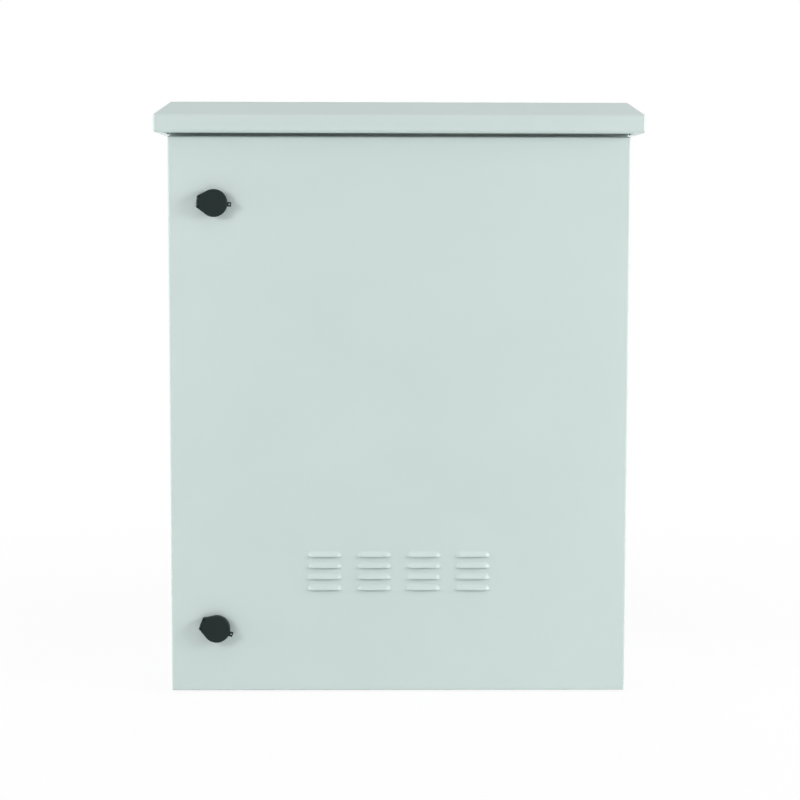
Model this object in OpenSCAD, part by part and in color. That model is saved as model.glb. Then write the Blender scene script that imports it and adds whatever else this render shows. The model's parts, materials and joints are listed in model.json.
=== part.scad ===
// Roadside utility cabinet: folded sheet-steel body, hinged door with pressed louvres, hipped rain roof.
// Millimetres. Origin on the ground under the middle of the body, X to the right, Y to the back, Z up.

/* [Cabinet] */
// Width of the body and of the door
body_w = 650; // [560:10:900]
// Depth from the door's front face to the back wall
body_d = 400; // [320:10:600]
// Height of the door
door_h = 790.5; // [600:0.5:1200]
// Gap between the ground and the door's lower edge
ground_gap = 3; // [2:0.5:8]
// Thickness of the folded sheet
sheet = 1.5; // [1.2:0.1:1.8]
// Outside radius of a folded edge
bend_r = 3; // [2.4:0.1:3.6]

/* [Roof] */
// Gap between the door's upper edge and the roof's lower edge
eave_gap = 4; // [3:0.5:10]
// Height of the roof's upright edge
fascia_h = 24; // [18:1:40]
// Height of the roof's slope
hip_rise = 19.5; // [12:0.5:30]
// Width of the roof's slope, seen from above
hip_run = 24; // [12:1:40]
// How far the roof stands out beyond the body's sides
side_overhang = 18; // [16:1:40]
// How far the roof stands out beyond the body's front and back
front_overhang = 20; // [18:1:40]
// Outside radius of the roof's folds and corners
roof_bend_r = 5; // [3:0.5:6]
// Width of the flange turned in under the roof's edge
roof_return = 14; // [6:1:15]
// How far the body's top reaches up into the roof
top_overlap = 8; // [4:1:12]

/* [Door and frame] */
// Depth of the door pan
door_flange = 18; // [16:0.5:20]
// Distance from the body's side to the inside of the sealing lip
frame_side = 41; // [40:1:48]
// Distance from the door's upper or lower edge to the sealing lip
frame_edge = 30; // [24:1:36]
// Width of the door's foam seal
gasket_w = 12; // [8:1:12]
// Thickness of the door's foam seal
gasket_t = 10.2; // [8:0.1:12]

/* [Hinges] */
// Distance of the hinge axis from the door's side face
hinge_side = 9; // [8.5:0.5:10]
// Distance of the hinge axis behind the door's front face
hinge_front = 9; // [8.5:0.5:10]
// Distance of each hinge from the door's nearer end
hinge_inset = 110; // [80:5:180]
// Diameter of the hinge pin
hinge_pin_d = 5; // [4:0.5:6]
// Height of the middle knuckle
knuckle_h = 20; // [14:1:30]
// Thickness of the hinge leaf's ears
ear_t = 4; // [3:0.5:5]

/* [Louvres] */
// Columns of louvres
louvre_columns = 4; // [2:1:5]
// Rows of louvres
louvre_rows = 4; // [2:1:8]
// Distance from the door's side to the nearest louvre
louvre_margin = 193; // [150:1:210]
// Gap between columns
louvre_gap = 18.5; // [12:0.5:24]
// Distance between rows
louvre_pitch_z = 16; // [14:0.5:24]
// Height of one louvre
louvre_h = 9; // [7:0.5:11]
// How far a louvre stands out from the door
louvre_rise = 4; // [3:0.5:6]
// Height of the lowest louvre's lip above the door's lower edge
louvre_base = 147; // [110:1:240]

/* [Locks] */
// Distance of the locks from the door's left edge
lock_inset_x = 65; // [62:1:75]
// Distance of the lower lock from the door's lower edge
lower_lock_inset = 91.5; // [90:0.5:130]
// Distance of the upper lock from the door's upper edge
upper_lock_inset = 93.5; // [90:0.5:130]
// How far the upper cover is turned clockwise
upper_roll = 5; // [0:1:30]
// How far the lower cover is turned clockwise
lower_roll = 20; // [0:1:30]
// Radius of the dust cover
cover_r = 19.5; // [19:0.5:22]
// Distance from the cover's middle to its flat end
cover_beak = 24; // [23.5:0.5:27]
// Length of the cover's flat end
cover_flat = 16; // [14:0.5:18]
// Thickness of the dust cover
cover_t = 3.4; // [3:0.1:4]
// Outside diameter of the lock's threaded barrel
barrel_d = 22; // [20:0.5:23]
// Diameter of the turning insert
insert_d = 17; // [15:0.5:17.5]
// Length of the cam from the lock's axis to its tip
cam_reach = 48; // [44:1:52]
// Thickness of the cam
cam_t = 4; // [3:0.5:5]

/* [Inside] */
// Width of the mounting plate
plate_w = 530; // [400:10:540]
// Gap between the back wall and the mounting plate
plate_gap = 36; // [20:1:60]
// Thickness of the mounting plate
plate_t = 2.5; // [1.5:0.5:4]
// Width of the cable entry in the floor
entry_w = 300; // [200:10:380]
// Depth of the cable entry in the floor
entry_d = 120; // [80:10:140]
// Width of the rim that carries the gland plate round the cable entry
entry_rim = 22; // [18:1:28]
// Diameter of the anchor holes in the floor
anchor_d = 12; // [9:0.5:14]
// Diameter of the wall-fixing holes in the back
wall_hole_d = 9; // [7:0.5:12]
// Thickness of the louvre filter mat
mat_t = 7; // [5:0.5:10]

/* [Hidden] */
$fn = 48;
paint = "#c9d7d4";
inner_paint = "#c3d0cd";
zinc = "#b9bdbf";
brass = "#c2a259";
black_plastic = "#2d3434";
foam = "#3b3f40";
felt = "#e6e7e1";

// Clearances
seat_gap = 0.3;
run_gap = 0.05;
swing_gap = 0.8;
side_gap = 0.4;
cut = 1;
thread_end = 2;

// Heights
door_z0 = ground_gap;
door_z1 = door_z0 + door_h;
eave_z = door_z1 + eave_gap;
top_z = eave_z + top_overlap;
roof_z = eave_z + fascia_h + hip_rise;
sill_z = door_z0 + frame_edge;
header_z = door_z1 - frame_edge;
door_mid_z = (door_z0 + door_z1) / 2;

// Widths
half_w = body_w / 2;
inner_half_w = half_w - sheet;
lip_x = half_w - frame_side;

// Depths: the recess leaves room for the door's edge to swing round the hinge axis
front_y = -body_d / 2;
back_y = body_d / 2;
door_in_y = front_y + sheet;
edge_reach = max(hinge_front, door_flange - hinge_front);
swing_r = sqrt(hinge_side * hinge_side + edge_reach * edge_reach);
recess = hinge_front + swing_r + swing_gap;
face_y = front_y + recess;
face_in_y = face_y + sheet;
lip_y = door_in_y + gasket_t + seat_gap;

// Fasteners: shank diameter, hexagon width, head height
m5 = [5, 8, 4];
m6 = [6, 10, 4];
m8 = [8, 13, 6.5];
washer_t = 1.6;
function washer_d(m) = 2.1 * m[0];
function clearance_d(m) = m[0] + 0.5;

// Louvre form: its height over the door's face, from the lip to where it runs out into the sheet
louvre_steps = 4;
louvre_kink = 0.1;
louvre_curve = [
  for (i = [0:louvre_steps]) [
    louvre_h * i / louvre_steps,
    (louvre_rise + louvre_kink) * (1 + cos(180 * i / louvre_steps)) / 2 - louvre_kink
  ]
];
louvre_field_w = body_w - 2 * louvre_margin;
louvre_w = (louvre_field_w - (louvre_columns - 1) * louvre_gap) / louvre_columns;
louvre_pitch_x = louvre_w + louvre_gap;
louvre_run = louvre_w - 2 * louvre_h;
louvre_z0 = door_z0 + louvre_base;
louvre_z1 = louvre_z0 + (louvre_rows - 1) * louvre_pitch_z + louvre_h;

// Filter behind the louvres
mat_margin = 12;
mat_w = louvre_field_w + 2 * mat_margin;
mat_z0 = louvre_z0 - mat_margin;
mat_z1 = louvre_z1 + mat_margin;
filter_ear = 16;
filter_stud_x = mat_w / 2 + sheet + filter_ear / 2;
filter_stud_dz = (mat_z1 - mat_z0) / 2 - filter_ear / 2;
filter_mid_z = (mat_z0 + mat_z1) / 2;
filter_slot_rows = 5;
filter_slot_h = 8;

// Door rails
rail_w = 28;
rail_foot = 10;
rail_depth = 13;
rail_end = 24;
rail_hole_d = 8;
rail_pitch = 50;
rail_x = lip_x - frame_side - rail_w;
rail_z0 = sill_z + rail_end;
rail_z1 = header_z - rail_end;

// Hinges
hinge_x = half_w - hinge_side;
hinge_y = front_y + hinge_front;
hinge_z = [door_z0 + hinge_inset, door_z1 - hinge_inset];
knuckle_room = 2;
knuckle_r = min(hinge_side, hinge_front) - sheet - knuckle_room;
pin_r = hinge_pin_d / 2;
face_off = recess - hinge_front;
skin_off = hinge_front - sheet;
base_t = 3;
base_lap = 15;
base_h = knuckle_h + 2 * base_lap;
base_in = hinge_side + 2 * bend_r + lip_x - half_w;
base_room = 5.5;
base_out = hinge_side - swing_r - base_room;
hinge_screw_x = (base_in + base_out) / 2;
hinge_screw_edge = 8;
hinge_screw_dz = base_h / 2 - hinge_screw_edge;
arm_root = 2;
arm_ease = 1;
leaf_ease = 4;
leaf_in = base_in + leaf_ease;
leaf_t = 3;
leaf_h = knuckle_h + 2 * side_gap + 2 * ear_t;
notch_ease = 1.5;
notch_h = knuckle_h + 2 * notch_ease;
notch_rim = 4;
pin_head_rim = 1.5;
pin_head_r = pin_r + pin_head_rim;
pin_head_t = 2;

// Locks
lock_x = -half_w + lock_inset_x;
lock_z = [door_z0 + lower_lock_inset, door_z1 - upper_lock_inset];
lock_roll = [lower_roll, upper_roll];
barrel_r = barrel_d / 2;
barrel_gap = 0.2;
seal_t = 1;
seat_base_t = 2;
seat_inset = 0.5;
seat_wall = 2;
seat_top = 8;
flange_r = cover_r - seat_inset - seat_wall - seat_gap;
flange_t = 3;
flange_z = seal_t + seat_base_t;
insert_r = insert_d / 2;
insert_depth = 2;
insert_face = flange_z + flange_t - insert_depth;
key_wall = 2;
key_cup_r = insert_r - key_wall;
key_cup_h = 9;
key_post_r = 4.6;
key_post_depth = 1;
housing_floor = 3;
stem_r = 5.8;
square_w = 8;
cam_gap = 1.6;
cam_top = -(recess + sheet + cam_gap);
cam_play = 0.6;
housing_end = cam_top + cam_play;
cam_w = 16;
cam_bolt_grip = 8;
lock_nut_w = 30;
lock_nut_t = 6;
cover_z = seat_top + seat_gap;
cover_top = cover_z + cover_t;
cover_bevel = 1.4;
cover_skin = 2.2;
cover_pin_d = 1.6;
cover_pin_r = cover_pin_d / 2;
cover_hinge_r = 1.8;
cover_pin_x = -(cover_beak - cover_hinge_r);
cover_pin_z = cover_top - cover_hinge_r;
cover_knuckle = cover_flat / 2 - 2 * seat_gap;
cover_kink = 0.1;
cover_lug_w = 6.4;
cover_lug_l = 5;
cover_lug_t = 1.8;
seal_hole_d = 2.4;

// Roof and its carriers
roof_half_w = half_w + side_overhang;
roof_half_d = body_d / 2 + front_overhang;
fold_steps = 5;
roof_rail_w = 26;
roof_rail_t = 2;
roof_rail_edge = 108;
roof_rail_end = 60;
roof_rail_x = half_w - roof_rail_edge;
roof_rail_l = body_d - 2 * roof_rail_end;
roof_bolt_end = 25;
roof_bolt_y = roof_rail_l / 2 - roof_bolt_end;
vent_slot_w = 50;
vent_slot_h = 8;
vent_pitch = 22;
vent_rows = 5;

// Floor and back
pan_flange = 15;
corner_relief = 6;
entry_y = 20;
gland_gasket_t = 3;
gland_t = 2;
gland_w = entry_w + 2 * entry_rim;
gland_d = entry_d + 2 * entry_rim;
gland_screw_x = (entry_w + entry_rim) / 2;
gland_screw_y = (entry_d + entry_rim) / 2;
gland_screw_columns = 3;
gland_screw_dx = 2 * gland_screw_x / gland_screw_columns;
anchor_edge_x = 50;
anchor_edge_y = 70;
anchor_x = half_w - anchor_edge_x;
anchor_y = back_y - anchor_edge_y;
wall_edge_x = 28;
wall_edge_z = 70;
wall_hole_x = half_w - wall_edge_x;
wall_hole_z = [wall_edge_z, top_z - wall_edge_z];

// Mounting plate
plate_edge_z = 12;
plate_z0 = sill_z + plate_edge_z;
plate_z1 = header_z - plate_edge_z;
plate_y = back_y - sheet - plate_gap;
plate_corner = 25;
plate_stud_x = plate_w / 2 - plate_corner;
plate_stud_z = [plate_z0 + plate_corner, plate_z1 - plate_corner];
shoulder_r = 7;

// Earth studs
earth_l = 22;
earth_y = 0;
earth_z = 60;
door_earth_room = 20;
door_earth_x = rail_x + rail_w / 2 + rail_foot + door_earth_room;

// Outlines

function unit(v) = v / norm(v);
function left_of(v) = [-v[1], v[0]];
function turn(a, b) = a[0] * b[1] - a[1] * b[0];
function at(points, i) = points[(i + len(points)) % len(points)];
function side(points, i) = unit(at(points, i + 1) - at(points, i));

// A closed outline, drawn anticlockwise, moved inwards by d
function inset(points, d) = [
  for (i = [0:len(points) - 1])
    let (m = left_of(side(points, i - 1)), n = left_of(side(points, i)))
      points[i] + d * (m + n) / (1 + m * n)
];

// Where the rounding of corner i starts and ends, and its centre
function tangent(points, i, r) =
  let (a = side(points, i - 1), b = side(points, i)) r * abs(turn(a, b)) / (1 + a * b);
function arc_from(points, i, r) = points[i] - side(points, i - 1) * tangent(points, i, r);
function arc_to(points, i, r) = points[i] + side(points, i) * tangent(points, i, r);
function arc_centre(points, i, r) = arc_from(points, i, r) + left_of(side(points, i - 1)) * r;

// The same outline with each corner rounded in fold_steps straight steps
function stepped(points, r) = [
  for (i = [0:len(points) - 1])
    let (
      centre = arc_centre(points, i, r), from = arc_from(points, i, r) - centre,
      start = atan2(from[1], from[0]),
      bend = atan2(turn(side(points, i - 1), side(points, i)), side(points, i - 1) * side(points, i))
    )
      for (k = [0:fold_steps])
        let (a = start + bend * k / fold_steps) centre + r * [cos(a), sin(a)]
];

// A slice of a disc between two points on its rim
module pie(centre, a, b, r) {
  intersection() {
    translate(centre) circle(r);
    polygon([centre, 2 * a - centre, a + b - centre + unit(a + b - 2 * centre) * r, 2 * b - centre]);
  }
}

// A convex outline with its own radius at each corner
module rounded(points, radii) {
  polygon([
    for (i = [0:len(points) - 1])
      for (p = radii[i] > 0
        ? [arc_from(points, i, radii[i]), arc_centre(points, i, radii[i]), arc_to(points, i, radii[i])]
        : [points[i]])
        p
  ]);
  for (i = [0:len(points) - 1])
    if (radii[i] > 0)
      pie(
        arc_centre(points, i, radii[i]), arc_from(points, i, radii[i]),
        arc_to(points, i, radii[i]), radii[i]
      );
}

// A folded strip of sheet along the middle line through these points
module folded(points, t, r) {
  last = len(points) - 1;
  mid_r = r - t / 2;
  for (i = [0:last - 1]) {
    along = unit(points[i + 1] - points[i]);
    across = left_of(along) * t / 2;
    a = points[i] + (i == 0 ? 0 : tangent(points, i, mid_r)) * along;
    b = points[i + 1] - (i == last - 1 ? 0 : tangent(points, i + 1, mid_r)) * along;
    polygon([a - across, b - across, b + across, a + across]);
  }
  for (i = [1:last - 1]) {
    hand = sign(turn(side(points, i - 1), side(points, i)));
    a = arc_from(points, i, mid_r);
    b = arc_to(points, i, mid_r);
    centre = a + hand * left_of(side(points, i - 1)) * mid_r;
    difference() {
      pie(centre, centre + (a - centre) * r / mid_r, centre + (b - centre) * r / mid_r, r);
      translate(centre) circle(r - t);
    }
  }
}

// Turns an outline drawn in X and Z into a length along Y, and one drawn in Y and Z into a length along X
module along_y(length) {
  rotate([90, 0, 0]) linear_extrude(length, center = true) children();
}
module along_x(length) {
  rotate([90, 0, 90]) linear_extrude(length, center = true) children();
}

// A block with rounded upper edges, its top at zero
module pan_block(w, l, h, r) {
  intersection() {
    along_y(l) rounded([[-w / 2, -h], [w / 2, -h], [w / 2, 0], [-w / 2, 0]], [0, 0, r, r]);
    along_x(w) rounded([[-l / 2, -h], [l / 2, -h], [l / 2, 0], [-l / 2, 0]], [0, 0, r, r]);
  }
}

// A sheet folded down on four sides, its top at zero
module pan(w, l, h) {
  difference() {
    pan_block(w, l, h, bend_r);
    translate([0, 0, -sheet]) pan_block(w - 2 * sheet, l - 2 * sheet, h, bend_r - sheet);
  }
}

// Fasteners, drawn along Z from their seat at zero

module washer(m) {
  difference() {
    cylinder(d = washer_d(m), h = washer_t);
    translate([0, 0, -cut]) cylinder(d = m[0], h = washer_t + 2 * cut);
  }
}
module hexagon(w, h) {
  cylinder(d = w * 2 / sqrt(3), h = h, $fn = 6);
}
module hex_nut(m) {
  difference() {
    intersection() {
      hexagon(m[1], m[2]);
      cylinder(r1 = m[1] / 2 + m[2], r2 = m[1] / 2, h = m[2]);
    }
    translate([0, 0, -cut]) cylinder(d = m[0], h = m[2] + 2 * cut);
  }
}
module hex_bolt(m, length) {
  intersection() {
    hexagon(m[1], m[2]);
    cylinder(r1 = m[1] / 2 + m[2], r2 = m[1] / 2, h = m[2]);
  }
  translate([0, 0, -length]) cylinder(d = m[0], h = length);
}

// Body

module body_wrap() {
  mid = sheet / 2;
  color(paint) difference() {
    linear_extrude(top_z) folded([
      [-lip_x - mid, lip_y], [-lip_x - mid, face_y + mid], [-half_w + mid, face_y + mid],
      [-half_w + mid, back_y - mid], [half_w - mid, back_y - mid],
      [half_w - mid, face_y + mid], [lip_x + mid, face_y + mid], [lip_x + mid, lip_y]
    ], sheet, bend_r);
    for (z = [[-cut, sill_z - sheet + cut], [header_z + sheet, top_z - header_z]])
      translate([-half_w, lip_y - cut, z[0]]) cube([body_w, face_y - lip_y + cut, z[1]]);
    for (x = [-wall_hole_x, wall_hole_x], z = wall_hole_z)
      translate([x, back_y, z]) rotate([90, 0, 0]) cylinder(d = wall_hole_d, h = 4 * sheet, center = true);
    at_hinge_screws() cylinder(d = m5[0], h = 4 * sheet + 2 * base_t, center = true);
  }
}

// A shallow welded end panel with its front edge folded up into the door frame, seen as the floor
module end_panel(frame_h) {
  mid = sheet / 2;
  depth = back_y - sheet - face_in_y;
  difference() {
    translate([0, back_y - sheet - depth, 0]) mirror([0, 0, 1])
      pan(2 * inner_half_w, 2 * depth, pan_flange);
    translate([-half_w, face_in_y - 2 * body_d, -cut]) cube([body_w, 2 * body_d, pan_flange + 2 * cut]);
    for (x = [-inner_half_w, inner_half_w], y = [face_in_y, back_y - sheet])
      translate([x, y, 0]) cube([2 * corner_relief, 2 * corner_relief, 3 * pan_flange], center = true);
  }
  along_x(2 * lip_x) folded([
    [lip_y, frame_h - mid], [face_y + mid, frame_h - mid],
    [face_y + mid, mid], [face_y + 2 * pan_flange, mid]
  ], sheet, bend_r);
}

module top_panel() {
  span = 2 * roof_rail_x - 2 * roof_rail_w;
  columns = floor(span / (vent_slot_w + vent_pitch));
  color(paint) difference() {
    translate([0, 0, top_z]) mirror([0, 0, 1]) end_panel(top_z - header_z);
    for (i = [0:columns - 1], j = [0:vent_rows - 1])
      translate([
        (i - (columns - 1) / 2) * (vent_slot_w + vent_pitch),
        (j - (vent_rows - 1) / 2) * vent_pitch, top_z
      ])
        slot(vent_slot_w, vent_slot_h, 4 * sheet);
    at_roof_bolts() cylinder(d = clearance_d(m6), h = 4 * sheet, center = true);
  }
}

// A slot with round ends through the origin
module slot(w, h, depth) {
  linear_extrude(depth, center = true) {
    square([w - h, h], center = true);
    for (s = [-1, 1])
      translate([s * (w - h) / 2, 0]) intersection() {
        circle(d = h);
        translate([s * h / 2, 0]) square([h, 2 * h], center = true);
      }
  }
}

module floor_panel() {
  color(paint) difference() {
    end_panel(sill_z);
    translate([0, entry_y, 0]) cube([entry_w, entry_d, 4 * sheet], center = true);
    for (x = [-anchor_x, anchor_x], y = [-anchor_y, anchor_y])
      translate([x, y, 0]) cylinder(d = anchor_d, h = 4 * sheet, center = true);
    at_gland_screws() cylinder(d = m6[0], h = 4 * sheet, center = true);
  }
}

// Cable entry

module at_gland_screws() {
  for (y = [-gland_screw_y, gland_screw_y], x = [-gland_screw_dx, 0, gland_screw_dx])
    translate([x, entry_y + y, 0]) children();
}
module gland_gasket() {
  color(foam) difference() {
    translate([-gland_w / 2, entry_y - gland_d / 2, sheet]) cube([gland_w, gland_d, gland_gasket_t]);
    translate([0, entry_y, 0]) cube([entry_w, entry_d, 6 * gland_gasket_t], center = true);
    at_gland_screws() cylinder(d = m6[0], h = 6 * gland_gasket_t, center = true);
  }
}
module gland_plate() {
  color(zinc) difference() {
    translate([-gland_w / 2, entry_y - gland_d / 2, sheet + gland_gasket_t])
      cube([gland_w, gland_d, gland_t]);
    at_gland_screws() cylinder(d = m6[0], h = 6 * gland_gasket_t, center = true);
  }
}
module gland_screws() {
  seat = sheet + gland_gasket_t + gland_t;
  color(zinc) at_gland_screws() translate([0, 0, seat]) hex_bolt(m6, seat);
}

// Mounting plate

module at_plate_studs() {
  for (x = [-plate_stud_x, plate_stud_x], z = plate_stud_z)
    translate([x, plate_y, z]) rotate([90, 0, 0]) children();
}
module mounting_plate() {
  color(zinc) difference() {
    translate([-plate_w / 2, plate_y - plate_t, plate_z0]) cube([plate_w, plate_t, plate_z1 - plate_z0]);
    at_plate_studs() cylinder(d = clearance_d(m8), h = 4 * plate_t, center = true);
  }
}
module plate_studs() {
  color(zinc) at_plate_studs() {
    translate([0, 0, -plate_gap]) cylinder(r = shoulder_r, h = plate_gap);
    cylinder(d = m8[0], h = plate_t + washer_t + m8[2] + thread_end);
  }
}
module plate_nuts() {
  color(zinc) at_plate_studs() translate([0, 0, plate_t]) {
    washer(m8);
    translate([0, 0, washer_t]) hex_nut(m8);
  }
}

// Earth studs, in the body's right side and on the door

module at_earth() {
  translate([inner_half_w, earth_y, earth_z]) rotate([0, -90, 0]) children();
}
module at_door_earth() {
  translate([door_earth_x, door_in_y, earth_z]) rotate([-90, 0, 0]) children();
}
module stud() {
  cylinder(d = m8[0], h = earth_l);
}
module nut_on_stud() {
  washer(m8);
  translate([0, 0, washer_t]) hex_nut(m8);
}
module earth_stud() {
  color(brass) at_earth() stud();
}
module earth_nut() {
  color(brass) at_earth() nut_on_stud();
}
module door_earth_stud() {
  color(brass) at_door_earth() stud();
}
module door_earth_nut() {
  color(brass) at_door_earth() nut_on_stud();
}

// Roof

// Half section of the roof, w wide to each side
function roof_section(w) = [
  [-w, eave_z], [w, eave_z], [w, eave_z + fascia_h], [w - hip_run, roof_z],
  [hip_run - w, roof_z], [-w, eave_z + fascia_h]
];

module roof_block(d, r) {
  x = roof_half_w - d;
  y = roof_half_d - d;
  intersection() {
    along_y(3 * roof_half_d) polygon(stepped(inset(roof_section(roof_half_w), d), r));
    along_x(3 * roof_half_w) polygon(stepped(inset(roof_section(roof_half_d), d), r));
    linear_extrude(2 * roof_z) rounded([[-x, -y], [x, -y], [x, y], [-x, y]], [r, r, r, r]);
  }
}
module roof() {
  color(paint) difference() {
    roof_block(0, roof_bend_r);
    roof_block(sheet, roof_bend_r - sheet);
    translate([roof_return - roof_half_w, roof_return - roof_half_d, eave_z - cut])
      cube([2 * (roof_half_w - roof_return), 2 * (roof_half_d - roof_return), sheet + 2 * cut]);
  }
}

module at_roof_bolts() {
  for (x = [-roof_rail_x, roof_rail_x], y = [-roof_bolt_y, roof_bolt_y])
    translate([x, y, top_z]) children();
}
module roof_rail(hand) {
  mid = roof_rail_t / 2;
  top = roof_z - sheet - top_z;
  color(inner_paint) difference() {
    translate([hand * roof_rail_x, 0, top_z]) along_y(roof_rail_l) folded([
      [hand * roof_rail_w / 2, mid], [-hand * roof_rail_w / 2, mid],
      [-hand * roof_rail_w / 2, top - mid], [hand * roof_rail_w / 2, top - mid]
    ], roof_rail_t, roof_rail_t + bend_r - sheet);
    at_roof_bolts() cylinder(d = clearance_d(m6), h = 4 * roof_rail_t, center = true);
  }
}
module roof_rail_left() {
  roof_rail(-1);
}
module roof_rail_right() {
  roof_rail(1);
}
module roof_bolts() {
  color(zinc) at_roof_bolts() translate([0, 0, -sheet]) mirror([0, 0, 1])
    hex_bolt(m6, sheet + roof_rail_t + m6[2] + thread_end);
}
module roof_nuts() {
  color(zinc) at_roof_bolts() translate([0, 0, roof_rail_t]) hex_nut(m6);
}

// Hinges, drawn round the hinge axis

module at_hinge(i) {
  translate([hinge_x, hinge_y, hinge_z[i]]) children();
}
module at_hinge_screws() {
  for (i = [0, 1], s = [-1, 1])
    at_hinge(i) translate([hinge_screw_x, face_off, s * hinge_screw_dz]) rotate([90, 0, 0]) children();
}
module hinge_base(i) {
  color(zinc) difference() {
    at_hinge(i) {
      translate([base_in, face_off - base_t, -base_h / 2]) cube([base_out - base_in, base_t, base_h]);
      linear_extrude(knuckle_h, center = true) {
        circle(knuckle_r);
        polygon([
          [hinge_screw_x + arm_root, face_off - base_t], [base_out, face_off - base_t],
          [0, knuckle_r - arm_ease], [arm_ease - knuckle_r, -arm_ease]
        ]);
      }
    }
    at_hinge(i) cylinder(r = pin_r, h = 2 * base_h, center = true);
    at_hinge_screws() {
      cylinder(d = m5[0], h = 4 * base_t, center = true);
      translate([0, 0, base_t - m5[0] / 2]) cylinder(r1 = m5[0] / 2, r2 = m5[0], h = m5[0] / 2);
    }
  }
}
module hinge_screws() {
  color(zinc) at_hinge_screws() {
    tail = sheet + m5[2] + thread_end;
    translate([0, 0, -tail]) cylinder(d = m5[0], h = tail + base_t);
    translate([0, 0, base_t - m5[0] / 2]) cylinder(r1 = m5[0] / 2, r2 = m5[0], h = m5[0] / 2);
  }
}
module hinge_nuts() {
  color(zinc) at_hinge_screws() translate([0, 0, -sheet]) mirror([0, 0, 1]) hex_nut(m5);
}
module hinge_leaf(i) {
  color(zinc) at_hinge(i) difference() {
    union() {
      translate([leaf_in, -skin_off, -leaf_h / 2])
        cube([-leaf_in - knuckle_r - knuckle_room, leaf_t, leaf_h]);
      for (s = [0, 1])
        translate([0, 0, s ? leaf_h / 2 - ear_t : -leaf_h / 2]) linear_extrude(ear_t) {
          circle(knuckle_r);
          polygon([
            [leaf_in, -skin_off], [0, -skin_off],
            [0, knuckle_r - arm_ease], [leaf_in, leaf_t - skin_off]
          ]);
        }
    }
    cylinder(r = pin_r + run_gap, h = 2 * leaf_h, center = true);
  }
}
module hinge_pin(i) {
  color(zinc) at_hinge(i) {
    translate([0, 0, -leaf_h / 2 - pin_head_t]) cylinder(r = pin_r, h = leaf_h + pin_head_t + side_gap);
    translate([0, 0, leaf_h / 2 + side_gap]) cylinder(r = pin_head_r, h = pin_head_t);
  }
}
module lower_hinge_base() {
  hinge_base(0);
}
module upper_hinge_base() {
  hinge_base(1);
}
module lower_hinge_pin() {
  hinge_pin(0);
}
module upper_hinge_pin() {
  hinge_pin(1);
}
module lower_hinge_leaf() {
  hinge_leaf(0);
}
module upper_hinge_leaf() {
  hinge_leaf(1);
}

// Door

module at_louvres() {
  for (i = [0:louvre_columns - 1], j = [0:louvre_rows - 1])
    translate([
      (i - (louvre_columns - 1) / 2) * louvre_pitch_x, front_y, louvre_z0 + j * louvre_pitch_z
    ])
      children();
}
// One louvre, moved into the sheet by inset and filled to depth back: a ramp with a quarter bell at each end
module louvre_form(inset, back) {
  top = [for (p = louvre_curve) [p[0], p[1] - inset]];
  section = concat([[0, -back]], top, [[louvre_h, -back]]);
  along_x(louvre_run) polygon([for (p = section) [-p[1], p[0]]]);
  for (s = [0, 1])
    mirror([s, 0, 0]) translate([louvre_run / 2, 0, 0]) rotate([90, 0, 0])
      rotate_extrude(angle = 90) polygon(section);
}
module door_panel() {
  color(paint) difference() {
    union() {
      translate([0, front_y, door_mid_z]) rotate([90, 0, 0]) pan(body_w, door_h, door_flange);
      at_louvres() louvre_form(0, sheet / 2);
    }
    at_louvres() louvre_form(sheet, sheet + cut);
    for (i = [0, 1])
      at_lock(i) cylinder(r = barrel_r + barrel_gap, h = 4 * sheet, center = true);
    for (z = hinge_z)
      translate([half_w - 2 * sheet, front_y + notch_rim, z - notch_h / 2])
        cube([4 * sheet, door_flange, notch_h]);
  }
}
module door_gasket() {
  mid = sheet / 2;
  outer_x = lip_x + mid + gasket_w / 2;
  bottom = sill_z - mid - gasket_w / 2;
  top = header_z + mid + gasket_w / 2;
  color(foam) difference() {
    translate([-outer_x, door_in_y, bottom]) cube([2 * outer_x, gasket_t, top - bottom]);
    translate([gasket_w - outer_x, door_in_y - cut, bottom + gasket_w])
      cube([2 * (outer_x - gasket_w), gasket_t + 2 * cut, top - bottom - 2 * gasket_w]);
  }
}
module door_rail(hand) {
  mid = sheet / 2;
  holes = floor((rail_z1 - rail_z0) / rail_pitch) - 1;
  color(inner_paint) translate([hand * rail_x, door_in_y, 0]) difference() {
    translate([0, 0, rail_z0]) linear_extrude(rail_z1 - rail_z0) folded([
      [-rail_w / 2 - rail_foot, mid], [-rail_w / 2 + mid, mid], [-rail_w / 2 + mid, rail_depth - mid],
      [rail_w / 2 - mid, rail_depth - mid], [rail_w / 2 - mid, mid], [rail_w / 2 + rail_foot, mid]
    ], sheet, bend_r);
    for (k = [0:holes])
      translate([0, rail_depth, door_mid_z + (k - holes / 2) * rail_pitch]) rotate([90, 0, 0])
        cylinder(d = rail_hole_d, h = 4 * sheet, center = true);
  }
}
module door_rail_left() {
  door_rail(-1);
}
module door_rail_right() {
  door_rail(1);
}

// Filter behind the louvres

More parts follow.
